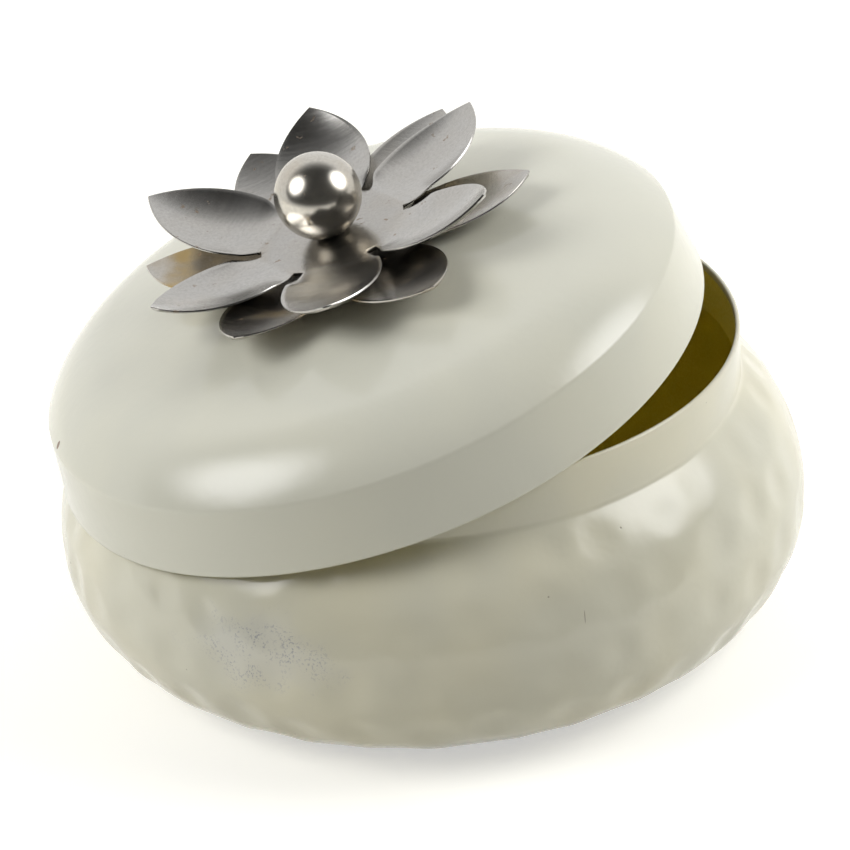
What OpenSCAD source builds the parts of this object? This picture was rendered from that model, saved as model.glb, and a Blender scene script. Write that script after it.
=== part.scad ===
// Round metal trinket box with a lift-off lid and a two-layer flower knob.
// The lid rests askew: its low side stands on the bowl's shoulder and it crosses the rim at two points.
// Millimetres, +Z up, the bowl's flat bottom on z = 0, the front of the box towards -Y.

/* [Bowl] */
// Widest diameter of the bowl
bowl_d = 150; // [120:1:180]
// Height of the rim above the table
bowl_h = 56.6; // [46:0.2:70]
// Height of the widest ring, also the radius of the rounded lower side
belly_h = 20.4; // [16:0.2:26]
// How far the outside of the neck stands in from the widest ring
neck_inset = 12.1; // [9:0.1:16]
// Straight upright part of the neck under the rim
neck_h = 9.6; // [2:0.1:14]
// Hollow sweep between the shoulder and the neck
neck_fillet = 2; // [1:0.1:6]
// Thickness of the spun metal of bowl and lid
wall = 0.9; // [0.7:0.05:1.6]

/* [Lid] */
// Play all round between the neck and the inside of the lid's skirt
lid_gap = 2.6; // [1.5:0.1:4]
// Height of the lid from the skirt's edge to the middle of the crown
lid_h = 26.8; // [22:0.2:34]
// How far the crown swells above the line of its own edge
crown_rise = 8.7; // [6:0.1:11]
// Radius of the rounding between the skirt and the crown
lid_corner = 16.9; // [10:0.1:20]
// Where on that rounding the straight tapered skirt meets it in a soft crease, in degrees
crease_turn = 30; // [20:1:40]
// Height left between the rim and the inside of the crown on the askew lid's low side
rim_room = 1.8; // [1:0.1:6]
// Compass direction of the lid's raised side, in degrees from +X
lid_turn = 12; // [-180:1:180]
// Clearance left between the resting lid and the bowl
rest_gap = 0.25; // [0.1:0.05:0.5]

/* [Flower] */
// Petals in each of the two layers
petal_count = 6; // [5:1:7]
// Thickness of the stamped sheet
sheet = 0.7; // [0.5:0.05:1.2]
// Length of a petal from the slits to the tip
petal_len = 26.5; // [20:0.5:32]
// Greatest width of a petal
petal_w = 19.5; // [14:0.5:22]
// Radius where the slits between the petals end
slit_r = 14; // [11:0.5:18]
// Mean upward bend of the upper petals, in degrees
upper_bend = 17.6; // [13:0.2:24]
// Mean upward bend of the lower petals, in degrees
lower_bend = 11; // [8:0.2:15]
// How unevenly the petals were bent by hand, 0 is all alike
hand_spread = 1; // [0:0.1:1.2]
// Radius of the cup pressed across an upper petal
upper_cup = 26; // [20:1:45]
// Radius of the cup pressed across a lower petal
lower_cup = 40; // [30:1:60]
// Radius of the upward sweep along an upper petal
upper_bow = 38; // [30:1:60]
// Radius of the upward sweep along a lower petal
lower_bow = 70; // [55:1:110]
// Direction of the first upper petal, in degrees
upper_turn = 271; // [240:1:300]
// Direction of the first lower petal, in degrees
lower_turn = 295; // [270:1:330]
// Least air between the two layers of petals
layer_gap = 0.3; // [0.2:0.05:1]
// How far the screw hole sits off the middle of the crown, towards the raised side
hole_off = 1.3; // [0:0.1:3]

/* [Knob] */
// Diameter of the polished ball
ball_d = 16.8; // [13:0.2:21]
// Diameter of the screw that holds the flower and the ball
screw_d = 4; // [3:0.5:5]
// How deep the screw hole goes into the ball
ball_hole = 9; // [6:0.5:11]

/* [Hidden] */
$fn = 96;
// Hair-thin clearance between pieces clamped together
fit = 0.03;
// How far a cut runs past the face it breaks through
eps = 0.5;
// Sliver by which two areas of one outline run into each other
lap = 0.01;

// Bowl: one large arc for the shoulder, tangent to the belly and to the neck's fillet
belly_r = bowl_d / 2;
neck_r = belly_r - neck_inset;
neck_z = bowl_h - neck_h;
fillet_in = neck_fillet - neck_inset;
shoulder_rise = neck_z - belly_h;
shoulder_r = (fillet_in * fillet_in + shoulder_rise * shoulder_rise - neck_fillet * neck_fillet)
    / (2 * (neck_fillet - fillet_in));
shoulder_x = belly_r - shoulder_r;
fillet_x = neck_r + neck_fillet;
function meet_share(cut) = (shoulder_r - cut) / (shoulder_r + neck_fillet);
function meet_x(cut) = shoulder_x + (fillet_x - shoulder_x) * meet_share(cut);
function meet_z(cut) = belly_h + shoulder_rise * meet_share(cut);

// Lid: tapered skirt, corner arc and a wide crown arc
lid_in = neck_r + lid_gap;
lid_out = lid_in + wall;
crown_r = (lid_out * lid_out + crown_rise * crown_rise) / (2 * crown_rise);
crown_mid = lid_h - crown_r;
corner_x = lid_out - lid_corner;
corner_z = crown_mid + sqrt(pow(crown_r - lid_corner, 2) - corner_x * corner_x);
corner_share = crown_r / (crown_r - lid_corner);
touch_x = corner_x * corner_share;

// Resting place of the askew lid: its edge crosses the rim at two points, its low side is on the shoulder.
// drop is how far the middle of the skirt's edge lies under the rim.
function lid_shift(tilt, drop) = drop / tan(tilt)
    - sqrt(max(0, pow(drop / sin(tilt), 2) + neck_r * neck_r - lid_in * lid_in));
function low_out(tilt, drop) = lid_shift(tilt, drop) + lid_in * cos(tilt) - shoulder_x;
function low_up(tilt, drop) = bowl_h + rest_gap - drop - lid_in * sin(tilt) - belly_h;
function low_gap(tilt, drop) = norm([low_out(tilt, drop), low_up(tilt, drop)]) - shoulder_r - rest_gap;
function settle_drop(tilt, near, far, turns) =
    let (middle = (near + far) / 2)
    turns == 0 ? near :
    low_gap(tilt, middle) > 0 ? settle_drop(tilt, middle, far, turns - 1) :
    settle_drop(tilt, near, middle, turns - 1);
function least_drop(tilt) = sin(tilt) * sqrt(lid_in * lid_in - neck_r * neck_r);
function drop_at(tilt) = settle_drop(tilt, least_drop(tilt), 3 * least_drop(tilt), 30);

// Lean of the lid: it tips until the inside of its crown is rim_room above the rim on the low side
function lid_inside(x) = x > corner_x ?
    corner_z + sqrt(pow(lid_corner - wall, 2) - pow(x - corner_x, 2)) :
    crown_mid + sqrt(pow(crown_r - wall, 2) - x * x);
function room_at(tilt, drop) =
    let (out = neck_r - lid_shift(tilt, drop), up = drop - rest_gap)
    lid_inside(out * cos(tilt) - up * sin(tilt)) - out * sin(tilt) - up * cos(tilt);
function settle_tilt(near, far, turns) =
    let (middle = (near + far) / 2)
    turns == 0 ? near :
    room_at(middle, drop_at(middle)) > rim_room ? settle_tilt(middle, far, turns - 1) :
    settle_tilt(near, middle, turns - 1);
lid_tilt = settle_tilt(5, 30, 30);
rest_drop = drop_at(lid_tilt);
rest_shift = lid_shift(lid_tilt, rest_drop);
rest_z = bowl_h + rest_gap - rest_drop;

// Height of the ring that keeps the two layers apart, from the shape of their petals
function bow_sag(bow) = bow - sqrt(bow * bow - petal_len * petal_len / 4);
function petal_middle(bow, bend) = sin(bend) * petal_len / 2 - bow_sag(bow);
cup_rise = petal_w * petal_w / (8 * lower_cup);
uneven_share = 0.04;
uneven_room = hand_spread * uneven_share * petal_len;
spacer_h = layer_gap + uneven_room + cup_rise
    + petal_middle(lower_bow, lower_bend) - petal_middle(upper_bow, upper_bend);

// Heights up the lid's own axis, from the skirt's edge
hole_d = screw_d + 0.4;
lower_z = lid_h + fit;
spacer_z = lower_z + sheet + fit;
upper_z = spacer_z + spacer_h + fit;
ball_flat = 0.66 * screw_d;
ball_r = ball_d / 2;
flat_drop = sqrt(ball_r * ball_r - ball_flat * ball_flat);
ball_z = upper_z + sheet + fit + flat_drop;
spacer_d = 3.4 * screw_d;
washer_d = 3 * screw_d;
washer_t = 0.25 * screw_d;
lock_d = 1.8 * screw_d;
head_d = 1.9 * screw_d;
head_h = 0.62 * screw_d;
under_z = lid_h - wall - pow(washer_d / 2 + hole_off, 2) / (2 * (crown_r - wall)) - 3 * fit;
washer_z = under_z - washer_t;
lock_z = washer_z - fit - washer_t;
head_z = lock_z - fit - head_h;
screw_end = ball_z - flat_drop + ball_hole - 1;

// Petals run this far into the flat middle, and are widest at this share of their length
petal_root = 1;
wide_share = 0.38;
// How far each petal was pushed above the mean bend and swung sideways, in degrees
upper_push = [-5.7, 0.7, -3.4, 3.3, 10.1, -4.5];
upper_swing = [-3, -8, 7, 0, 7, -3];
lower_push = [-3.7, -6.2, 4.4, 6.3, -2.4, 1.2];
lower_swing = [5, 8, -9, -3, -12, 9];

// Puts a piece built on the lid's own axis where the askew lid lies
module on_lid() {
    rotate([0, 0, lid_turn])
        translate([-rest_shift, 0, rest_z])
            rotate([0, -lid_tilt, 0])
                rotate([0, 0, -lid_turn])
                    children();
}

// Puts a piece built on the screw's axis where the flower sits on the lid
module on_flower() {
    on_lid()
        translate([hole_off * cos(lid_turn), hole_off * sin(lid_turn), 0])
            children();
}

// Half section of the bowl filled solid, drawn inwards by cut
module bowl_half(cut) {
    top = bowl_h + (cut > 0 ? eps : 0);
    join_x = meet_x(cut);
    join_z = meet_z(cut);
    intersection() {
        translate([shoulder_x, belly_h])
            circle(r = shoulder_r - cut);
        translate([0, belly_h])
            square([belly_r, join_z - belly_h]);
    }
    translate([0, belly_h])
        square([join_x - wall, join_z - belly_h]);
    intersection() {
        translate([belly_r - belly_h, belly_h])
            circle(r = belly_h - cut);
        square([belly_r, belly_h]);
    }
    translate([0, cut])
        square([belly_r - belly_h, belly_h - cut]);
    difference() {
        polygon([[0, join_z - lap], [join_x, join_z - lap], [fillet_x, neck_z], [0, neck_z]]);
        translate([fillet_x, neck_z])
            circle(r = neck_fillet + cut);
    }
    translate([0, neck_z - lap])
        square([neck_r - cut, top - neck_z + lap]);
}

// Spun bowl with flat bottom, round belly, drawn-in shoulder and upright neck
module bowl() {
    color("Ivory")
        rotate_extrude()
            difference() {
                bowl_half(0);
                bowl_half(wall);
            }
}

// Half section of the lid filled solid, drawn inwards by cut
module lid_half(cut) {
    low = cut > 0 ? -eps : 0;
    crease_x = corner_x + (lid_corner - cut) * cos(crease_turn);
    crease_z = corner_z + (lid_corner - cut) * sin(crease_turn);
    low_x = lid_out - cut - low * (lid_out - cut - crease_x) / crease_z;
    polygon([[0, low], [low_x, low], [crease_x, crease_z], [0, crease_z]]);
    intersection() {
        translate([corner_x, corner_z])
            circle(r = lid_corner - cut);
        translate([0, crease_z - lap])
            square([lid_out, lid_h]);
    }
    intersection() {
        translate([0, crown_mid])
            circle(r = crown_r - cut);
        translate([0, crease_z - lap])
            square([touch_x - cut * touch_x / crown_r, lid_h]);
    }
}

// Spun lid with tapered skirt and low round crown, a screw hole in the middle
module lid() {
    color("Ivory")
        on_lid()
            difference() {
                rotate_extrude()
                    difference() {
                        lid_half(0);
                        lid_half(wall);
                    }
                translate([hole_off * cos(lid_turn), hole_off * sin(lid_turn), lid_h - wall - eps])
                    cylinder(d = hole_d, h = wall + 2 * eps);
            }
}

// Ring round the screw that keeps the upper layer off the lower one
module petal_spacer() {
    color("Silver")
        on_flower()
            translate([0, 0, spacer_z])
                difference() {
                    cylinder(d = spacer_d, h = spacer_h);
                    translate([0, 0, -eps])
                        cylinder(d = hole_d, h = spacer_h + 2 * eps);
                }
}

// Pointed outline of one petal, base at the left, tip on the right
module petal_outline() {
    wide_at = wide_share * petal_len;
    side_r = (pow(petal_len - wide_at, 2) + petal_w * petal_w / 4) / petal_w;
    side_y = side_r - petal_w / 2;
    intersection() {
        translate([wide_at, side_y])
            circle(r = side_r);
        translate([wide_at, -side_y])
            circle(r = side_r);
        translate([-petal_root, -petal_w])
            square([petal_len + 2 * petal_root, 2 * petal_w]);
    }
}

// Thin shell with one curve along X and another across, its lowest line on z = 0
module cupped_sheet(bow, cup) {
    translate([0, 0, bow])
        rotate([90, 0, 0])
            rotate_extrude()
                intersection() {
                    translate([bow - cup, 0])
                        difference() {
                            circle(r = cup + sheet);
                            circle(r = cup);
                        }
                    translate([bow - 0.5 * cup, -petal_w])
                        square([cup, 2 * petal_w]);
                }
}

// One petal along +X: the pointed outline cut from the cupped sheet, bent up from its base
module petal(bow, cup, bend, swing) {
    sag = bow_sag(bow);
    rotate([0, -bend, 0])
        rotate([0, 0, swing])
            intersection() {
                translate([petal_len / 2, 0, -sag])
                    cupped_sheet(bow, cup);
                translate([0, 0, -sag - sheet - eps])
                    linear_extrude(height = sag + sheet + petal_w / 4)
                        petal_outline();
            }
}

// Flat middle and the ring of petals, cut from one sheet, seat on z = 0
module petal_layer(bow, cup, bend, push, swing, turn) {
    difference() {
        cylinder(r = slit_r, h = sheet);
        translate([0, 0, -eps])
            cylinder(d = hole_d, h = sheet + 2 * eps);
    }
    for (k = [0 : petal_count - 1])
        rotate([0, 0, turn + k * 360 / petal_count])
            translate([slit_r - petal_root, 0, sheet])
                petal(bow, cup, bend + hand_spread * push[k % len(push)],
                    hand_spread * swing[k % len(swing)]);
}

// Lower layer of petals, seen between the upper ones
module lower_petals() {
    color("Gainsboro")
        on_flower()
            translate([0, 0, lower_z])
                petal_layer(lower_bow, lower_cup, lower_bend, lower_push, lower_swing, lower_turn);
}

// Upper layer of petals, clamped under the ball
module upper_petals() {
    color("Gainsboro")
        on_flower()
            translate([0, 0, upper_z])
                petal_layer(upper_bow, upper_cup, upper_bend, upper_push, upper_swing, upper_turn);
}

// Polished ball with a small flat underneath and a blind screw hole
module ball_knob() {
    color("WhiteSmoke")
        on_flower()
            translate([0, 0, ball_z])
                difference() {
                    sphere(r = ball_r);
                    translate([0, 0, -flat_drop - ball_r])
                        cylinder(r = ball_r, h = ball_r);
                    translate([0, 0, -flat_drop - eps])
                        cylinder(d = screw_d + 2 * fit, h = ball_hole + eps);
                }
}

// Flat washer against the inside of the crown
module flat_washer() {
    color("Silver")
        on_flower()
            translate([0, 0, washer_z])
                difference() {
                    cylinder(d = washer_d, h = washer_t);
                    translate([0, 0, -eps])
                        cylinder(d = hole_d, h = washer_t + 2 * eps);
                }
}

// Split spring washer between the flat washer and the screw head
module lock_washer() {
    color("DimGray")
        on_flower()
            translate([0, 0, lock_z])
                difference() {
                    cylinder(d = lock_d, h = washer_t);
                    translate([0, 0, -eps])
                        cylinder(d = hole_d, h = washer_t + 2 * eps);
                    translate([0, -0.1 * screw_d, -eps])
                        cube([lock_d, 0.2 * screw_d, washer_t + 2 * eps]);
                }
}

// Slotted screw from inside the lid up into the ball
module knob_screw() {
    color("Silver")
        on_flower() {
            difference() {
                translate([0, 0, head_z])
                    cylinder(d = head_d, h = head_h);
                translate([-head_d, -0.12 * screw_d, head_z - eps])
                    cube([2 * head_d, 0.24 * screw_d, 0.5 * head_h + eps]);
            }
            translate([0, 0, head_z + 0.6 * head_h])
                cylinder(d = screw_d, h = screw_end - head_z - 0.6 * head_h);
        }
}

bowl();
lid();
petal_spacer();
lower_petals();
upper_petals();
ball_knob();
flat_washer();
lock_washer();
knob_screw();
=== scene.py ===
"""Round enamelled trinket box with a loose lid and a flower knob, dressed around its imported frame.
All sizes are in metres."""

import bpy
import numpy as np
from mathutils import Matrix, Vector


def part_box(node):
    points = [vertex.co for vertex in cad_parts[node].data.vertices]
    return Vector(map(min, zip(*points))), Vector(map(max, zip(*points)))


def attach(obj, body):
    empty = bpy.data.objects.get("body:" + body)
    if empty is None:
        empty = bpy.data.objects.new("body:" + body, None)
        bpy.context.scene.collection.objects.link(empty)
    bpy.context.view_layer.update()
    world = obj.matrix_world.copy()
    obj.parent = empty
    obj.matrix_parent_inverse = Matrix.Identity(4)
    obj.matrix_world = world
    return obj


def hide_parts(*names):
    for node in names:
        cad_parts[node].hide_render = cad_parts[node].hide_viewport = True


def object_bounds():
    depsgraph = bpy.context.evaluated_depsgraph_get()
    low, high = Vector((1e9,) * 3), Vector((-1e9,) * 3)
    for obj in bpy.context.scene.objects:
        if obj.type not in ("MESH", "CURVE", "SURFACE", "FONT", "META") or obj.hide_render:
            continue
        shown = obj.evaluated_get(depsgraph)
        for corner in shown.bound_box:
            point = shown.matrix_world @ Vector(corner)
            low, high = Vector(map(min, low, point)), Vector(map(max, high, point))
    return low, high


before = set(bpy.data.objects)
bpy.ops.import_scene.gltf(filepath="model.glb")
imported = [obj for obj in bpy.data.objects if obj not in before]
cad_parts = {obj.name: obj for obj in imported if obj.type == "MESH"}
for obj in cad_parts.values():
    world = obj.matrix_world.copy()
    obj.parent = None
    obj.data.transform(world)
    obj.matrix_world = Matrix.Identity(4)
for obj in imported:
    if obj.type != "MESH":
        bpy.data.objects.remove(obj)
cad_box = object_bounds()

# Bowl.
# It is spun from one disc of sheet metal, then hammered from outside in staggered rows round the belly.
# The outside is dipped in cream enamel, the inside is sprayed with olive gold lacquer, and the rim is the
# sheet's own cut edge, rounded over by the enamel.
belly_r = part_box("bowl")[1].x
rim_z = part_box("bowl")[1].z
belly_z = 0.0204
neck_inset = 0.0121
neck_h = 0.0096
neck_sweep = 0.002
wall = 0.0009
foot_start_r = 0.002
foot_rows = 16
lower_rows = 46
shoulder_rows = 48
sweep_rows = 12
neck_rows = 10
rim_rows = 10
bowl_columns = 352


def arc(middle, radius, start, stop, count):
    """Round stretch of a profile: middle plus radius times (cos, sin) of each turn from start to stop.
    Returns the points, the last one left out, and the directions away from the middle."""
    turn = np.linspace(start, stop, count, endpoint=False)
    away = np.stack([np.cos(turn), np.sin(turn)], axis=-1)
    return np.array(middle) + radius * away, away


def line(start, stop, count, facing):
    """Straight stretch of a profile, the last point left out, with the one direction that it faces."""
    share = np.linspace(0, 1, count, endpoint=False)[:, None]
    points = (1 - share) * np.array(start) + share * np.array(stop)
    return points, np.broadcast_to(np.array(facing, float), points.shape)


def joined(*stretches):
    """One profile from its stretches: all their points, and the directions that they face."""
    return tuple(np.concatenate(parts) for parts in zip(*stretches))


def bowl_profile():
    """Foot, lower arc, shoulder arc, hollow sweep and upright neck, each tangent to the next, from the
    middle of the foot up to the rim. Returns (radius, height) points and the direction that each one
    faces."""
    neck_r = belly_r - neck_inset
    neck_z = rim_z - neck_h
    rise = neck_z - belly_z
    shoulder_r = ((neck_sweep - neck_inset) ** 2 + rise ** 2 - neck_sweep ** 2) / (2 * neck_inset)
    shoulder_x = belly_r - shoulder_r
    foot_r = belly_r - belly_z
    sweep_x = neck_r + neck_sweep
    shoulder_end = np.arctan2(rise, sweep_x - shoulder_x)
    sweep, inwards = arc((sweep_x, neck_z), neck_sweep, shoulder_end + np.pi, np.pi, sweep_rows)
    return joined(
        line((foot_start_r, 0), (foot_r, 0), foot_rows, (0, -1)),
        arc((foot_r, belly_z), belly_z, -np.pi / 2, 0, lower_rows),
        arc((shoulder_x, belly_z), shoulder_r, 0, shoulder_end, shoulder_rows),
        (sweep, -inwards),
        line((neck_r, neck_z), (neck_r, rim_z - wall / 2), neck_rows, (1, 0)),
    )


mark_seed = 12
mark_rows = 5
mark_first = 0.010
mark_step = 0.011
mark_pitch = 0.0125
mark_size = 0.0056
mark_depth = 0.00072
mark_fade = 0.12
foot_mark_size = 0.0068
foot_mark_share = 0.7
turn_slip = 0.16
height_slip = 0.0012
size_spread = (0.85, 1.15)
depth_spread = (0.5, 1.1)


def hammer_marks(along, radius, around):
    """Depth of the hammering at each place. A mark is a round cap: its depth times 1 minus the squared share
    of its size, squared once more for a soft edge, and neighbours add up. Marks sit in staggered rows, with
    seeded unevenness, and are shallower row by row towards the shoulder. The lowest row keeps a hard edge:
    its caps are not squared once more, and where two meet the deeper one counts."""
    chance = np.random.default_rng(mark_seed)
    for row in range(mark_rows):
        height = mark_first + row * mark_step
        row_r = np.interp(height, along, radius)
        count = round(2 * np.pi * row_r / mark_pitch)
        slip = chance.uniform(-turn_slip, turn_slip, count)
        turn = (np.arange(count) + row / 2 + slip) * 2 * np.pi / count
        place = height + chance.uniform(-height_slip, height_slip, count)
        size = (mark_size if row else foot_mark_size) * chance.uniform(*size_spread, count)
        strength = mark_depth * (1 - mark_fade * row) * chance.uniform(*depth_spread, count)
        gap = (around[:, None] - turn + np.pi) % (2 * np.pi) - np.pi
        away = (along[:, None, None] - place) ** 2 + (radius[:, None, None] * gap) ** 2
        cap = np.clip(1 - away / size ** 2, 0, None)
        if row == 0:
            depth = (foot_mark_share * strength * cap).max(axis=-1)
        else:
            depth = depth + (strength * cap ** 2).sum(axis=-1)
    return depth


def spin(radius, height, around):
    """Points of a turned surface: radius times (cos, sin) of the turn, and height."""
    return np.stack([radius * np.cos(around), radius * np.sin(around), height + 0 * around], axis=-1)


def new_piece(name, points, faces, materials, which=None):
    """Smooth shaded mesh object at the origin. which gives the material of each face by its number."""
    mesh = bpy.data.meshes.new(name)
    mesh.from_pydata(points.tolist(), [], faces)
    mesh.polygons.foreach_set("use_smooth", np.ones(len(faces), bool))
    for material in materials:
        mesh.materials.append(material)
    if which is not None:
        mesh.polygons.foreach_set("material_index", which.astype(np.int32))
    piece = bpy.data.objects.new(name, mesh)
    bpy.context.scene.collection.objects.link(piece)
    return piece


def ring_piece(name, rings, materials, second_from=None, endless=False):
    """Closed skin over rings of points. Quads join each ring to the next. The two ends close on their middle
    points, or on each other if endless. Rings from second_from on take the second material."""
    rows, columns = rings.shape[:2]
    index = np.arange(rows * columns).reshape(rows, columns)
    here = index if endless else index[:-1]
    there = np.roll(index, -1, axis=0) if endless else index[1:]
    quads = np.stack([here, np.roll(here, -1, axis=1), np.roll(there, -1, axis=1), there], axis=-1)
    second_from = rows if second_from is None else second_from
    which = np.repeat(np.arange(len(here)) >= second_from, columns)
    points = rings.reshape(-1, 3)
    faces = quads.reshape(-1, 4).tolist()
    if not endless:
        points = np.concatenate([points, rings[[0, -1]].mean(axis=1)])
        low = np.full(columns, rows * columns)
        high = low + 1
        faces += np.stack([low, np.roll(index[0], -1), index[0]], axis=-1).tolist()
        faces += np.stack([index[-1], np.roll(index[-1], -1), high], axis=-1).tolist()
        which = np.concatenate([which, np.repeat([False, second_from < rows], columns)])
    return new_piece(name, points, faces, materials, which)


def feed(tree, socket, value):
    """Links a socket's value, or sets it where the value is plain."""
    if isinstance(value, bpy.types.NodeSocket):
        tree.links.new(value, socket)
    else:
        socket.default_value = value


def add(tree, kind, inputs=None, **settings):
    """New shader node with its settings, its inputs fed by name, or by number where names repeat."""
    made = tree.nodes.new("ShaderNode" + kind)
    for label, value in settings.items():
        setattr(made, label, value)
    for label, value in (inputs or {}).items():
        feed(tree, made.inputs[label], value)
    return made


def mixed(tree, share, first, second):
    """Colour between first and second by share."""
    return add(tree, "Mix", {0: share, 6: first, 7: second}, data_type="RGBA").outputs[2]


def sums(tree, operation, first, second=0.0):
    """One arithmetic step on values."""
    return add(tree, "Math", {0: first, 1: second}, operation=operation).outputs[0]


def fade(tree, value, low, high, at_low=0.0, at_high=1.0):
    """Smooth step of a value: at_low below low, at_high above high."""
    limits = {"Value": value, "From Min": low, "From Max": high, "To Min": at_low, "To Max": at_high}
    return add(tree, "MapRange", limits, interpolation_type="SMOOTHSTEP").outputs[0]


def noise(tree, place, scale, detail=2.0, roughness=0.5):
    """Cloudy value round 0.5 with about scale clouds to the metre."""
    inputs = {"Vector": place, "Scale": scale, "Detail": detail, "Roughness": roughness}
    return add(tree, "TexNoise", inputs).outputs["Fac"]


def new_group(name, takes, gives):
    """Empty shader node group. takes and gives name its sockets with their types."""
    group = bpy.data.node_groups.new(name, "ShaderNodeTree")
    for label, kind in takes.items():
        group.interface.new_socket(label, in_out="INPUT", socket_type="NodeSocket" + kind)
    for label, kind in gives.items():
        group.interface.new_socket(label, in_out="OUTPUT", socket_type="NodeSocket" + kind)
    return group, group.nodes.new("NodeGroupInput").outputs, group.nodes.new("NodeGroupOutput").inputs


def new_material(name):
    """Node material. Returns it with its tree, its shader and its place in Object coordinates."""
    material = bpy.data.materials.new(name)
    material.use_nodes = True
    tree = material.node_tree
    return material, tree, tree.nodes["Principled BSDF"], add(tree, "TexCoord").outputs["Object"]


def placed(tree, group, inputs):
    """Places a node group in a material and feeds its inputs. Returns its outputs."""
    made = tree.nodes.new("ShaderNodeGroup")
    made.node_tree = group
    for label, value in inputs.items():
        feed(tree, made.inputs[label], value)
    return made.outputs


def embossed(tree, shader, height, depth):
    """Feeds a shader's normal with the bumps of a height, which counts depth times its value."""
    bump = add(tree, "Bump", {"Height": height, "Distance": depth})
    feed(tree, shader.inputs["Normal"], bump.outputs["Normal"])


cloud_scale = 28.0
speck_scale = 210.0
speckless_share = 0.62
speck_r = 0.06
speck_edge = (-0.025, 0.005)
speck_strength = (0.2, 0.75)
gloss_scale = 60.0
gloss_range = (0.12, 0.17)
peel_scale = 420.0
peel_height = 0.00004
glaze_ior = 1.5


def enamel_skin():
    """Node group of the enamel's own unevenness: slow clouds of tone, pin-sized brown specks where bubbles
    burst in firing, uneven gloss and a faint orange peel."""
    takes = {"Place": "Vector", "Enamel": "Color", "Cloud": "Color", "Speck": "Color"}
    skin = {"Color": "Color", "Gloss": "Float", "Height": "Float"}
    group, given, gives = new_group("enamel_skin", takes, skin)
    clouds = fade(group, noise(group, given["Place"], cloud_scale), 0.35, 0.65)
    cells = add(group, "TexVoronoi", {"Vector": given["Place"], "Scale": speck_scale})
    lot = add(group, "SeparateColor", {"Color": cells.outputs["Color"]})
    size = fade(group, lot.outputs["Red"], speckless_share, 1.0, 0.0, speck_r)
    past_edge = sums(group, "SUBTRACT", cells.outputs["Distance"], size)
    speck = fade(group, past_edge, *speck_edge, 1.0, 0.0)
    tone = mixed(group, clouds, given["Enamel"], given["Cloud"])
    shown = sums(group, "MULTIPLY", speck, fade(group, lot.outputs["Green"], 0.0, 1.0, *speck_strength))
    feed(group, gives["Color"], mixed(group, shown, tone, given["Speck"]))
    uneven = noise(group, given["Place"], gloss_scale, 1.0)
    feed(group, gives["Gloss"], fade(group, uneven, 0.2, 0.8, *gloss_range))
    peel = noise(group, given["Place"], peel_scale, 1.0)
    feed(group, gives["Height"], sums(group, "SUBTRACT", peel, speck))
    return group


enamel_group = enamel_skin()


def glaze(tree, shader, skin, colour):
    """Feeds the shader of an enamelled piece with its colour, and with the gloss and peel of its skin."""
    feed(tree, shader.inputs["Base Color"], colour)
    feed(tree, shader.inputs["Roughness"], skin["Gloss"])
    shader.inputs["IOR"].default_value = glaze_ior
    embossed(tree, shader, skin["Height"], peel_height)


def nearness(tree, place, middle, reach):
    """Distance of a place from middle, measured in reaches, which may differ along X, Y and Z."""
    offset = add(tree, "VectorMath", {0: place, 1: middle}, operation="SUBTRACT").outputs[0]
    share = add(tree, "VectorMath", {0: offset, 1: reach}, operation="DIVIDE").outputs[0]
    return add(tree, "VectorMath", {0: share}, operation="LENGTH").outputs["Value"]


bowl_cream = (0.71, 0.68, 0.53, 1)
bowl_cloud = (0.655, 0.64, 0.525, 1)
enamel_speck = (0.20, 0.16, 0.10, 1)
patch_middle = (-0.0338, -0.0660, 0.0277)
patch_reach = (0.017, 0.017, 0.009)
patch_ragged_scale = 130.0
patch_haze = (0.58, 0.59, 0.61, 1)
patch_haze_share = 0.32
patch_speck = (0.20, 0.21, 0.28, 1)
patch_speck_share = 0.6
cluster_scale = 210.0
grain_scale = 1900.0
hair_middle = (0.0252, -0.0687, 0.0312)
hair_reach = (0.00009, 0.003, 0.0014)
hair_share = 0.7


def bowl_enamel():
    """Cream enamel with one thin patch on the front left, where blue-grey ground coat shows through in fine
    specks, and one hair that was caught under the enamel."""
    material, tree, shader, place = new_material("bowl_enamel")
    inputs = {"Place": place, "Enamel": bowl_cream, "Cloud": bowl_cloud, "Speck": enamel_speck}
    skin = placed(tree, enamel_group, inputs)
    from_patch = nearness(tree, place, patch_middle, patch_reach)
    ragged = sums(tree, "ADD", from_patch, noise(tree, place, patch_ragged_scale, 3.0))
    patch = fade(tree, ragged, 0.8, 1.6, 1.0, 0.0)
    clusters = fade(tree, noise(tree, place, cluster_scale), 0.42, 0.62)
    grains = fade(tree, noise(tree, place, grain_scale, 2.0, 0.7), 0.53, 0.63)
    specks = sums(tree, "MULTIPLY", patch, sums(tree, "MULTIPLY", clusters, grains))
    haze_share = sums(tree, "MULTIPLY", patch, patch_haze_share)
    colour = mixed(tree, haze_share, skin["Color"], patch_haze)
    speck_share = sums(tree, "MULTIPLY", specks, patch_speck_share)
    colour = mixed(tree, speck_share, colour, patch_speck)
    from_hair = nearness(tree, place, hair_middle, hair_reach)
    hair = fade(tree, from_hair, 0.6, 1.0, hair_share, 0.0)
    glaze(tree, shader, skin, mixed(tree, hair, colour, enamel_speck))
    return material


lacquer_gold = (0.92, 0.81, 0.18, 1)
lacquer_olive = (0.84, 0.73, 0.13, 1)
lacquer_flake = (0.95, 0.85, 0.24, 1)
lacquer_metal = 0.05
lacquer_cloud_scale = 45.0
flake_scale = 2200.0
flake_height = 0.00002
flake_gloss = (0.55, 0.42)


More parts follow.
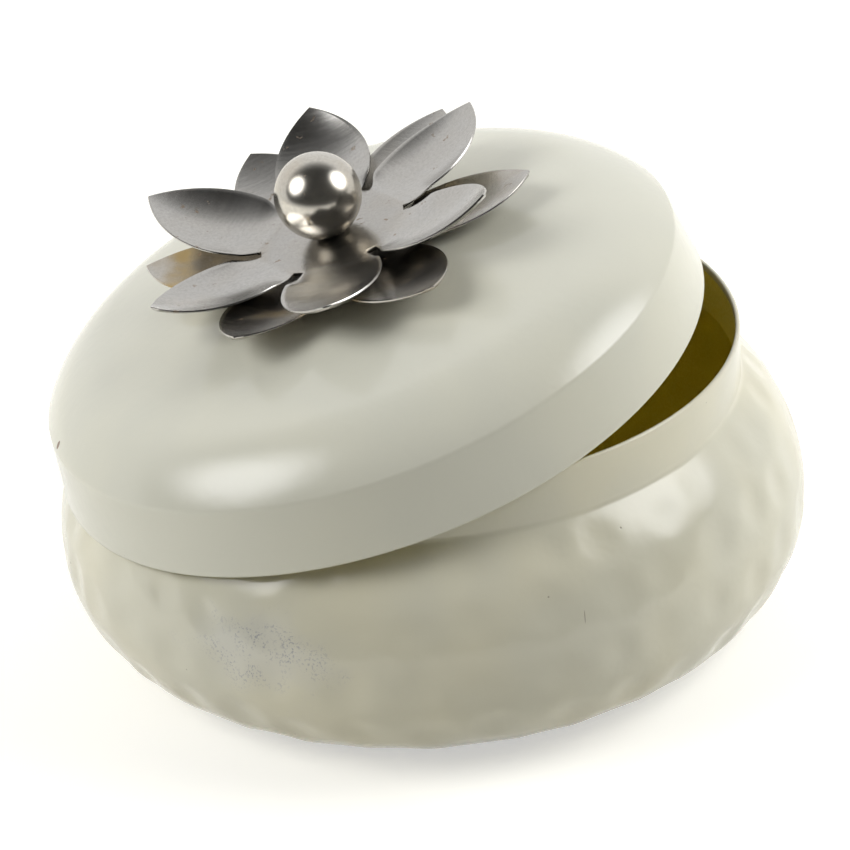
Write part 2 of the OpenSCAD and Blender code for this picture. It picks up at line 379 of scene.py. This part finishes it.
def olive_lacquer():
    """Matt olive gold lacquer, sprayed thin, with a fine grain of metal flake and soft uneven tone."""
    material, tree, shader, place = new_material("olive_lacquer")
    clouds = fade(tree, noise(tree, place, lacquer_cloud_scale), 0.2, 0.8)
    tone = mixed(tree, clouds, lacquer_gold, lacquer_olive)
    flake = fade(tree, noise(tree, place, flake_scale, 1.0), 0.35, 0.75)
    feed(tree, shader.inputs["Base Color"], mixed(tree, flake, tone, lacquer_flake))
    feed(tree, shader.inputs["Roughness"], fade(tree, flake, 0.0, 1.0, *flake_gloss))
    shader.inputs["Metallic"].default_value = lacquer_metal
    embossed(tree, shader, flake, flake_height)
    return material


lacquer = olive_lacquer()
around = np.linspace(0, 2 * np.pi, bowl_columns, endpoint=False)
side, facing = bowl_profile()
along = np.cumsum(np.hypot(*np.diff(side, axis=0, prepend=side[:1]).T)) - (belly_r - belly_z)
dented = hammer_marks(along, side[:, 0], around)[..., None]
outside = side[:, None] - dented * facing[:, None]
inside = outside - wall * facing[:, None]
rim = arc((belly_r - neck_inset - wall / 2, rim_z - wall / 2), wall / 2, 0, np.pi, rim_rows)[0]
rim = np.broadcast_to(rim[:, None], (rim_rows, bowl_columns, 2))
section = np.concatenate([outside, rim, inside[::-1]])
bowl_rings = spin(section[..., 0], section[..., 1], around)
bowl = ring_piece("bowl_shell", bowl_rings, [bowl_enamel(), lacquer], len(outside) + rim_rows)
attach(bowl, "bowl")
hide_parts("bowl")

# Lid.
# A second spun shell: a low round crown, a rounded corner and a tapered skirt that meets the corner in a
# soft crease. Cream enamel outside, olive gold lacquer inside. It is loose and lies askew on the bowl.
crown_rise = 0.0087
crease_inset = 0.00226
crease_h = 0.01321
crease_up = np.radians(38)
hollow_up = np.radians(30)
screw_hole_r = 0.0022
hole_blend_r = 0.012
crown_rows = 70
corner_rows = 40
skirt_rows = 24
edge_rows = 10
edge_rows_lacquered = 4
lid_columns = 352


def middle(node):
    """Middle of a node's box."""
    low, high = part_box(node)
    return (low + high) / 2


lean = Vector((0, 0, 1)).rotation_difference(middle("ball_knob") - middle("flat_washer"))
lid_axes = np.array(lean.to_matrix())


def turned_box(node):
    """Lowest and highest corner of a node, measured along the askew lid's own axes."""
    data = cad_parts[node].data
    points = np.empty(3 * len(data.vertices))
    data.vertices.foreach_get("co", points)
    own = points.reshape(-1, 3) @ lid_axes
    return own.min(axis=0), own.max(axis=0)


def onto_lid(points):
    """Takes points along the askew lid's own axes to the row frame."""
    return points @ lid_axes.T


def smooth(value, width):
    """0 at and below 0, 1 from width on, with a smooth step between."""
    share = np.clip(value / width, 0, 1)
    return share ** 2 * (3 - 2 * share)


lid_low, lid_high = turned_box("lid")
lid_middle = (lid_low + lid_high) / 2
lid_r = (lid_high[0] - lid_low[0]) / 2
lid_h = lid_high[2] - lid_low[2]
spacer_low, spacer_high = turned_box("petal_spacer")
flower_middle = (spacer_low + spacer_high) / 2
crown_r = (lid_r ** 2 + crown_rise ** 2) / (2 * crown_rise)
crown_z = lid_h - crown_r


def lid_profile(facing_up):
    """From the crown out to the skirt's edge: crown arc, corner arc and the straight taper from the crease
    down. The corner touches the crown and ends in the crease, where it faces up by a given turn, so that its
    radius follows from both."""
    crease = np.array([lid_r - crease_inset, crease_h])
    away = np.array([np.cos(facing_up), np.sin(facing_up)])
    reach = crease - np.array([0, crown_z])
    corner_r = (crown_r ** 2 - reach @ reach) / (2 * (crown_r - reach @ away))
    corner = crease - corner_r * away
    crown_end = np.arctan2(corner[1] - crown_z, corner[0])
    crown_start = np.arccos(screw_hole_r / crown_r)
    taper = np.array([crease_h, crease_inset]) / np.hypot(crease_h, crease_inset)
    return joined(
        arc((0, crown_z), crown_r, crown_start, crown_end, crown_rows),
        arc(corner, corner_r, crown_end, facing_up, corner_rows),
        line(crease, (lid_r - wall / 2 * taper[1], wall / 2), skirt_rows, taper),
    )


lid_around = np.linspace(0, 2 * np.pi, lid_columns, endpoint=False)
lid_side = lid_profile(crease_up)[0]
hollow_side, hollow_facing = lid_profile(hollow_up)
lid_inside = hollow_side - wall * hollow_facing
edge = arc((lid_r - wall / 2, wall / 2), wall / 2, 0, -np.pi, edge_rows)[0]
lid_section = np.concatenate([lid_side, edge, lid_inside[::-1]])
lid_rings = spin(lid_section[:, :1], lid_section[:, 1:], lid_around)
# The screw hole stands where the flower is, a little off the lid's middle, and the crown follows it.
hole_shift = (flower_middle - lid_middle)[:2]
hole_share = smooth(hole_blend_r - lid_section[:, 0], hole_blend_r - screw_hole_r)
lid_rings[..., :2] += hole_share[:, None, None] * hole_shift
lid_rings += np.array([lid_middle[0], lid_middle[1], lid_low[2]])
lid_rings = lid_rings[::-1]

lid_cream = (0.70, 0.69, 0.58, 1)
lid_cloud = (0.665, 0.66, 0.565, 1)
chip_middle = (-0.0707, -0.0205, 0.0493)
chip_reach = (0.002, 0.0007, 0.001)
chip_share = 0.9
chip_brown = (0.16, 0.07, 0.03, 1)


def lid_enamel():
    """The same enamel, a shade whiter, with one chip at the left that shows brown metal."""
    material, tree, shader, place = new_material("lid_enamel")
    inputs = {"Place": place, "Enamel": lid_cream, "Cloud": lid_cloud, "Speck": enamel_speck}
    skin = placed(tree, enamel_group, inputs)
    chip = fade(tree, nearness(tree, place, chip_middle, chip_reach), 0.7, 1.0, chip_share, 0.0)
    glaze(tree, shader, skin, mixed(tree, chip, skin["Color"], chip_brown))
    return material


enamel_from = len(lid_inside) + edge_rows_lacquered
lid = ring_piece("lid_shell", onto_lid(lid_rings), [lacquer, lid_enamel()], enamel_from, endless=True)
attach(lid, "lid")
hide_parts("lid")

# Petal layers.
# Two flowers stamped from thin nickel plated sheet, six petals each, pressed into a shallow cup and bent up
# by hand, so no two stand alike. The upper one is turned between the petals of the lower one.
petal_count = 6
petal_len = 0.0265
petal_w = 0.0195
petal_wide = 0.38
petal_root_r = 0.013
petal_rows = 40
petal_columns = 20
hub_rows = 14
slit_w = 0.0022
cup_fade = 0.006
swing_fade = 0.005


def petal_points(bend, swing, cup, bow):
    """Upper face of one petal, along +X from its root. Its outline is two arcs that meet in the tip,
    narrowed at the root for the slits. Its face is part of a ring: swept up along its length with radius
    bow and cupped across with radius cup, which fades out at the root. Then it is swung sideways and bent
    up."""
    length = petal_len * np.sin(np.linspace(0, np.pi / 2, petal_rows + 1))[:, None]
    across = np.linspace(-1, 1, petal_columns + 1)
    wide_at = petal_wide * petal_len
    side_r = ((petal_len - wide_at) ** 2 + petal_w ** 2 / 4) / petal_w
    half = np.sqrt(side_r ** 2 - (length - wide_at) ** 2) - side_r + petal_w / 2
    half_turn = np.pi / petal_count
    slit = np.tan(half_turn) * (petal_root_r + length) - slit_w / 2 / np.cos(half_turn)
    y = across * np.minimum(half, slit)
    x = length + 0 * y
    sag = bow - np.sqrt(bow ** 2 - petal_len ** 2 / 4)
    reach = np.sqrt(bow ** 2 - (x - petal_len / 2) ** 2)
    ring = np.sqrt((bow - cup + np.sqrt(cup ** 2 - y ** 2)) ** 2 - (x - petal_len / 2) ** 2)
    z = bow - sag - reach + smooth(x, cup_fade) * (reach - ring)
    turn = swing * smooth(x, swing_fade)
    x, y = x * np.cos(turn) - y * np.sin(turn), x * np.sin(turn) + y * np.cos(turn)
    out = petal_root_r + x * np.cos(bend) - z * np.sin(bend)
    up = x * np.sin(bend) + z * np.cos(bend)
    return np.stack([out, y, up], axis=-1)


sheet = 0.0007
clamp_gap = 0.00003
edge_share = 0.5
edge_columns = 3
edge_weight = 0.02
tip_rows = 4
sheared_r = 0.00012
sheared_from = np.radians(50)


def sheared_sheet(piece, hub, blades):
    """Gives a layer its thickness below the drawn face. The hub and the inside of each blade have all of it,
    and it falls in a smooth step to edge_share of it at the sheared edges, which are rounded a little."""
    inner = piece.vertex_groups.new(name="inner_sheet")
    inner.add(list(range(len(piece.data.vertices))), edge_weight, "REPLACE")
    inner.add(hub.ravel().tolist(), 1.0, "REPLACE")
    for column in range(petal_columns + 1):
        from_edge = min(column, petal_columns - column) / edge_columns
        weight = max(float(smooth(from_edge, 1)), edge_weight)
        inner.add(blades[:, 1:-tip_rows, column].ravel().tolist(), weight, "REPLACE")
    thickness = piece.modifiers.new("sheet", "SOLIDIFY")
    thickness.thickness = sheet
    thickness.offset = -1
    thickness.vertex_group = "inner_sheet"
    thickness.thickness_vertex_group = edge_share
    thickness.use_even_offset = True
    sheared = piece.modifiers.new("sheared_edge", "BEVEL")
    sheared.width = sheared_r
    sheared.segments = 2
    sheared.limit_method = "ANGLE"
    sheared.angle_limit = sheared_from


# Share of the dark root colour that every hub takes all over.
hub_darkening = 0.12


def petal_layer(name, top, first_turn, bends, swings, cup, bow, tarnish_and_shade, material):
    """One stamped sheet: a flat hub between the screw hole and the petals' roots, ringed by six petals, each
    turned round the hub to its place. The attribute grain holds the place along and across each petal, and
    a second attribute holds how far each petal's root is darkened, from 0 to 1: tarnish and painted shade."""
    poses = zip(np.radians(bends), np.radians(swings))
    petals = np.stack([petal_points(*pose, cup, bow) for pose in poses])
    turns = np.radians(first_turn) + np.arange(petal_count) * 2 * np.pi / petal_count
    turn_cos = np.cos(turns)[:, None, None]
    turn_sin = np.sin(turns)[:, None, None]
    spun = petals.copy()
    spun[..., 0] = petals[..., 0] * turn_cos - petals[..., 1] * turn_sin
    spun[..., 1] = petals[..., 0] * turn_sin + petals[..., 1] * turn_cos
    roots = spun[:, 0]
    slits = (roots[:, -1:] + np.roll(roots[:, :1], -1, axis=0)) / 2
    outline = np.concatenate([roots, slits], axis=1).reshape(-1, 3)
    hole = screw_hole_r * outline / np.linalg.norm(outline, axis=1, keepdims=True)
    share = np.linspace(0, 1, hub_rows)[:, None, None]
    hub = (1 - share) * hole + share * outline
    tips = spun[:, -1, petal_columns // 2]
    points = np.concatenate([hub.reshape(-1, 3), spun[:, 1:-1].reshape(-1, 3), tips])
    points += np.array([flower_middle[0], flower_middle[1], top])

    hub_index = np.arange(hub_rows * len(outline)).reshape(hub_rows, -1)
    beside = np.roll(hub_index, -1, axis=1)
    root_index = hub_index[-1].reshape(petal_count, -1)[:, None, :-1]
    blade_size = (petal_rows - 1) * (petal_columns + 1)
    blades = hub_index.size + np.arange(petal_count * blade_size).reshape(petal_count, petal_rows - 1, -1)
    blades = np.concatenate([root_index, blades], axis=1)
    tip = np.repeat(len(points) - petal_count + np.arange(petal_count), petal_columns)
    hub_quads = [hub_index[:-1], hub_index[1:], beside[1:], beside[:-1]]
    blade_quads = [blades[:, :-1, :-1], blades[:, 1:, :-1], blades[:, 1:, 1:], blades[:, :-1, 1:]]
    tip_triangles = [blades[:, -1, :-1].ravel(), tip, blades[:, -1, 1:].ravel()]
    faces = np.stack(hub_quads, axis=-1).reshape(-1, 4).tolist()
    faces += np.stack(blade_quads, axis=-1).reshape(-1, 4).tolist()
    faces += np.stack(tip_triangles, axis=-1).tolist()
    piece = new_piece(name, onto_lid(points), faces, [material])

    hub_r = np.linalg.norm(hub, axis=-1)
    hub_across = hub_r * np.arctan2(hub[..., 1], hub[..., 0])
    hub_grain = np.stack([hub_r - petal_root_r, hub_across, 0 * hub_r], axis=-1)
    blade_grain = petals - np.array([petal_root_r, 0, 0])
    blade_grain[..., 2] = np.arange(1, petal_count + 1)[:, None, None]
    grain = [hub_grain.reshape(-1, 3), blade_grain[:, 1:-1].reshape(-1, 3), blade_grain[:, -1, 0]]
    rolled = piece.data.attributes.new("grain", "FLOAT_VECTOR", "POINT")
    rolled.data.foreach_set("vector", np.concatenate(grain).ravel())
    # Each point's value for the darkened roots, which stand for tarnish and painted shade.
    tarnish_and_shade_values = [np.full(hub_index.size, hub_darkening), np.repeat(tarnish_and_shade, blade_size), tarnish_and_shade]
    tarnish_and_shade_layer = piece.data.attributes.new("tarnish_and_shade", "FLOAT", "POINT")
    tarnish_and_shade_layer.data.foreach_set("value", np.concatenate(tarnish_and_shade_values))
    sheared_sheet(piece, hub_index, blades)
    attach(piece, "lid")
    return piece


mottle_scale = 1700.0
mottle_share = 0.2
mottle_grey = (0.22, 0.21, 0.20, 1)
film_scale = 130.0
film_least = 0.35
film_gold = (0.40, 0.28, 0.10, 1)
spot_scale = 420.0
spot_brown = (0.22, 0.14, 0.07, 1)
crust_shine = 0.4


def nickel_age():
    """Node group of old nickel plate: a fine mottle of handling, a golden film in soft clouds, and brown
    tarnish in small ragged spots. Film and spots are dull crusts, so Bare tells how much of the metal still
    shines."""
    takes = {"Place": "Vector", "Metal": "Color", "Film": "Float", "Spots": "Float"}
    group, given, gives = new_group("nickel_age", takes, {"Color": "Color", "Bare": "Float"})
    mottle = fade(group, noise(group, given["Place"], mottle_scale, 3.0, 0.7), 0.35, 0.7, 0.0, mottle_share)
    handled = mixed(group, mottle, given["Metal"], mottle_grey)
    clouds = fade(group, noise(group, given["Place"], film_scale, 3.0), 0.35, 0.65, film_least, 1.0)
    film = sums(group, "MULTIPLY", clouds, given["Film"])
    ragged = fade(group, noise(group, given["Place"], spot_scale, 3.0, 0.6), 0.66, 0.74)
    spots = sums(group, "MULTIPLY", ragged, given["Spots"])
    gilt = mixed(group, film, handled, film_gold)
    feed(group, gives["Color"], mixed(group, spots, gilt, spot_brown))
    crust = sums(group, "MAXIMUM", spots, film)
    feed(group, gives["Bare"], fade(group, crust, 0.0, 1.0, 1.0, crust_shine))
    return group


age_group = nickel_age()
plain_nickel = (0.48, 0.472, 0.454, 1)
# Dark root colour and its reach: painted shade under the layer above, partly real tarnish.
bronze_and_painted_shade = (0.045, 0.036, 0.024, 1)
dark_root_reach = 0.018
dark_root_edge = (-0.004, 0.005)
gold_middle = 0.001
gold_edge = (0.0005, 0.004)
gold_share = (0.9, 0.25)
thin_film = 0.06
petal_spots = 0.7
rolled_scale = (1300.0, 110.0, 9.0)
rolled_height = 0.00002
satin_range = (0.205, 0.25)


def petal_nickel():
    """Satin nickel: the rolled sheet's fine lines run across each petal. From the root out to a line that
    each petal's darkening value sets, the plate is dark bronze: painted shade where the layer above and the
    ball hang over the roots, partly real tarnish. It is golden round that line, and plain nickel towards the
    tip."""
    material, tree, shader, place = new_material("petal_nickel")
    grain = add(tree, "Attribute", attribute_name="grain").outputs["Vector"]
    tarnish_and_shade = add(tree, "Attribute", attribute_name="tarnish_and_shade").outputs["Fac"]
    along_petal = add(tree, "SeparateXYZ", {"Vector": grain}).outputs["X"]
    past_line = sums(tree, "SUBTRACT", along_petal, sums(tree, "MULTIPLY", tarnish_and_shade, dark_root_reach))
    # Darkened root: painted shade where the layer above and the ball hang over it, partly tarnish.
    dark_root = sums(tree, "MULTIPLY", tarnish_and_shade, fade(tree, past_line, *dark_root_edge, 1.0, 0.0))
    metal = mixed(tree, dark_root, plain_nickel, bronze_and_painted_shade)
    from_line = sums(tree, "ABSOLUTE", sums(tree, "SUBTRACT", past_line, gold_middle))
    gold = sums(tree, "MULTIPLY", tarnish_and_shade, fade(tree, from_line, *gold_edge, *gold_share))
    film = sums(tree, "ADD", gold, thin_film)
    plate = placed(tree, age_group, {"Place": place, "Metal": metal, "Film": film, "Spots": petal_spots})
    drawn = add(tree, "VectorMath", {0: grain, 1: rolled_scale}, operation="MULTIPLY").outputs[0]
    lines = noise(tree, drawn, 1.0)
    feed(tree, shader.inputs["Base Color"], plate["Color"])
    feed(tree, shader.inputs["Metallic"], plate["Bare"])
    feed(tree, shader.inputs["Roughness"], fade(tree, lines, 0.3, 0.7, *satin_range))
    embossed(tree, shader, lines, rolled_height)
    return material


nickel = petal_nickel()
lower_top = spacer_low[2] - clamp_gap
lower_turn = 295
lower_bends = 11 + np.array([-3.7, -6.2, 4.4, 6.3, -2.4, 1.2])
lower_swings = [5, 8, -9, -3, -12, 9]
lower_cup = 0.040
lower_bow = 0.070
# How far each lower petal's root is darkened by tarnish and by painted shade under the upper layer.
lower_tarnish_and_shade = [0.7, 0.5, 0.1, 0.05, 1.0, 0.65]
lower_petals = petal_layer(
    "lower_petal_sheet", lower_top, lower_turn, lower_bends, lower_swings,
    lower_cup, lower_bow, lower_tarnish_and_shade, nickel
)
upper_top = spacer_high[2] + clamp_gap + sheet
upper_turn = 271
upper_bends = 17.6 + np.array([-5.7, 0.7, -3.4, 3.3, 10.1, -4.5])
upper_swings = [-3, -8, 7, 0, 7, -3]
upper_cup = 0.026
upper_bow = 0.038
# How far each upper petal's root is darkened by tarnish and by painted shade near the ball.
upper_tarnish_and_shade = [0.1, 0.05, 0.0, 0.0, 0.0, 0.0]
upper_petals = petal_layer(
    "upper_petal_sheet", upper_top, upper_turn, upper_bends, upper_swings,
    upper_cup, upper_bow, upper_tarnish_and_shade, nickel
)
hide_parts("lower_petals")
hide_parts("upper_petals")

# Ball knob.
# A steel ball turned flat underneath, polished and nickel plated. The screw from inside the lid holds it
# down on the upper petals.
ball_low, ball_high = turned_box("ball_knob")
ball_r = (ball_high[0] - ball_low[0]) / 2
ball_middle = np.array([*(ball_low + ball_high)[:2] / 2, ball_high[2] - ball_r])
flat_turn = np.arccos((ball_middle[2] - ball_low[2]) / ball_r)
ball_rows = 72
ball_columns = 128
bright_nickel = (0.60, 0.58, 0.535, 1)
ball_film = 0.2
ball_spots = 0.6
polish_range = (0.25, 0.2)


def polished_nickel():
    """Bright nickel, worn a little dull by handling, with a breath of tarnish."""
    material, tree, shader, place = new_material("polished_nickel")
    inputs = {"Place": place, "Metal": bright_nickel, "Film": ball_film, "Spots": ball_spots}
    plate = placed(tree, age_group, inputs)
    feed(tree, shader.inputs["Base Color"], plate["Color"])
    feed(tree, shader.inputs["Metallic"], plate["Bare"])
    feed(tree, shader.inputs["Roughness"], fade(tree, plate["Bare"], 0.8, 1.0, *polish_range))
    return material


polar = np.linspace(flat_turn, np.pi, ball_rows, endpoint=False)[:, None]
ball_around = np.linspace(0, 2 * np.pi, ball_columns, endpoint=False)
ball_rings = spin(ball_r * np.sin(polar), -ball_r * np.cos(polar), ball_around) + ball_middle
ball = ring_piece("polished_ball", onto_lid(ball_rings), [polished_nickel()])
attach(ball, "lid")
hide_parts("ball_knob")

# Screw, washers and spacer.
# Plain zinc plated steel from the fastener bin. The screw goes up through both washers, the lid, the spacer
# ring and both petal layers into the ball, and only its head shows inside the lid.
zinc_dark = (0.50, 0.50, 0.49, 1)
zinc_pale = (0.62, 0.61, 0.58, 1)
spangle_scale = 700.0
zinc_range = (0.32, 0.48)


def zinc_steel():
    """Dull zinc plate with a cloudy spangle, rougher where it is paler."""
    material, tree, shader, place = new_material("zinc_steel")
    spangle = noise(tree, place, spangle_scale, 3.0)
    feed(tree, shader.inputs["Base Color"], mixed(tree, spangle, zinc_dark, zinc_pale))
    feed(tree, shader.inputs["Roughness"], fade(tree, spangle, 0.3, 0.7, *zinc_range))
    shader.inputs["Metallic"].default_value = 1.0
    return material


steel = zinc_steel()
for node in ("petal_spacer", "flat_washer", "lock_washer", "knob_screw"):
    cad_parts[node].data.materials.clear()
    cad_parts[node].data.materials.append(steel)

# Stage.
# A plain pale floor in a white room, with a dark canvas that leans over the camera and two large soft
# lamps, left and right. The camera stands at the photograph's angle.
scene = bpy.context.scene
scene.view_settings.view_transform = "Standard"
floor_tone = (0.74, 0.725, 0.66, 1)
floor_glow = 0.5
floor_half = 3
floor_z = cad_box[0].z - 0.0001
white = (1, 1, 1, 1)


def flat_sheet(name, near, far, half, material):
    """One flat stage sheet of a half width, from its near edge to its far edge, given as (Y, Z) places."""
    corners = [(-half, *near), (half, *near), (half, *far), (-half, *far)]
    stage_piece = new_piece(name, np.array(corners, float), [[0, 1, 2, 3]], [material])
    return stage_piece


def pale_floor():
    """Warm white floor, plain and matt. It is lifted a little for the eye, and for metal that mirrors it, so
    that it reads as white paper and keeps the shadow."""
    material, tree, shader = new_material("pale_floor")[:3]
    shader.inputs["Base Color"].default_value = floor_tone
    shader.inputs["Roughness"].default_value = 0.9
    shader.inputs["Emission Color"].default_value = white
    path = add(tree, "LightPath").outputs
    mirrored = sums(tree, "MAXIMUM", path["Is Glossy Ray"], path["Is Transmission Ray"])
    seen = sums(tree, "MAXIMUM", path["Is Camera Ray"], mirrored)
    feed(tree, shader.inputs["Emission Strength"], sums(tree, "MULTIPLY", seen, floor_glow))
    return material


flat_sheet("floor", (-floor_half, floor_z), (floor_half, floor_z), floor_half, pale_floor())
world = bpy.data.worlds.new("white_room")
world.use_nodes = True
world.node_tree.nodes["Background"].inputs["Color"].default_value = white
scene.world = world

canvas_near = (-1.3, floor_z)
canvas_far = (1.3, 1.7)
canvas_half = 6
canvas_grey = (0.16, 0.16, 0.16, 1)
canvas_black = (0.03, 0.03, 0.03, 1)
grey_span = (-1.3, -0.3)
sheer_span = (-0.05, 1.1)


def dark_canvas():
    """Dark cloth, grey at the floor, black overhead and sheer towards its upper edge, so that the room's
    reflection darkens softly to the front."""
    material, tree, shader, place = new_material("dark_canvas")
    back = add(tree, "SeparateXYZ", {"Vector": place}).outputs["Y"]
    overhead = fade(tree, back, *grey_span)
    feed(tree, shader.inputs["Base Color"], mixed(tree, overhead, canvas_grey, canvas_black))
    shader.inputs["Roughness"].default_value = 1.0
    feed(tree, shader.inputs["Alpha"], fade(tree, back, *sheer_span, 1.0, 0.0))
    return material


canvas = flat_sheet("canvas", canvas_near, canvas_far, canvas_half, dark_canvas())
canvas.visible_camera = False

look_at = Vector((0, 0, 0.035))
lamp_away = 0.7
lamp_middle = (0.5, 0.5, 0.0)
lamp_edge = (0.1, 0.44)
lamp_strength = 3.95


def softbox(name, direction, size, power):
    """Round area lamp that faces the box from a direction, bright over its middle and soft at its edge."""
    lamp = bpy.data.lights.new(name, "AREA")
    lamp.size = size
    lamp.energy = power
    lamp.use_nodes = True
    tree = lamp.node_tree
    spot = add(tree, "NewGeometry").outputs["Parametric"]
    from_middle = add(tree, "VectorMath", {0: spot, 1: lamp_middle}, operation="DISTANCE").outputs["Value"]
    strength = fade(tree, from_middle, *lamp_edge, lamp_strength, 0.0)
    feed(tree, tree.nodes["Emission"].inputs["Strength"], strength)
    holder = bpy.data.objects.new(name, lamp)
    holder.location = look_at + Vector(direction).normalized() * lamp_away
    holder.rotation_euler = Vector(direction).to_track_quat("Z", "Y").to_euler()
    holder.visible_camera = False
    scene.collection.objects.link(holder)


softbox("left_softbox", (-0.74, -0.24, 0.63), 0.70, 2.75)
softbox("right_softbox", (0.77, -0.08, 0.63), 0.76, 3.35)

photo_px = 850
focal_px = 2618.3
look_down = np.radians(28.54)
look_roll = np.radians(-5.01)
look_away = 0.5254
camera = bpy.data.objects.new("camera", bpy.data.cameras.new("camera"))
camera.data.lens = camera.data.sensor_width * focal_px / photo_px
camera.data.shift_x = -0.00165
camera.data.shift_y = 0.0025
camera.data.clip_start = 0.01
towards_camera = Vector((0, -np.cos(look_down), np.sin(look_down)))
camera.location = look_at + towards_camera * look_away
upright = towards_camera.to_track_quat("Z", "Y").to_matrix()
camera.rotation_euler = (upright @ Matrix.Rotation(look_roll, 3, "Z")).to_euler()
scene.collection.objects.link(camera)
scene.camera = camera
